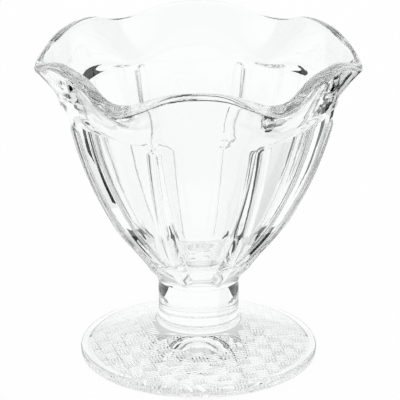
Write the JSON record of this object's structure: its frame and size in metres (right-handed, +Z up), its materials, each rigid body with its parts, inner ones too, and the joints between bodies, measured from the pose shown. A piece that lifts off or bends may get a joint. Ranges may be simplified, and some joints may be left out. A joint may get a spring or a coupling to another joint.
{
  "type": "sundae glass",
  "caption": "Footed ice-cream sundae glass in clear pressed glass: a tapering ribbed bowl with a wavy petalled rim on a short thick stem and a round cone foot.",
  "frame": {"origin": "centre of the foot's standing ring, on the table", "axes": "+Z up along the axis of the glass, -Y towards the viewer through the middle of a petal, +X to the right"},
  "size_m": [0.1086, 0.1018, 0.1101],
  "materials": {
    "bowl_glass": "clear pressed soda-lime glass, fire-polished, faint mould waviness",
    "stem_glass": "clear pressed soda-lime glass, fire-polished, solid",
    "foot_glass": "clear pressed soda-lime glass, smooth above, moulded basket-weave hatching under the foot"
  },
  "bodies": {
    "root": {"bowl": "bowl_glass", "stem": "stem_glass", "foot": "foot_glass"}
  },
  "joints": []
}
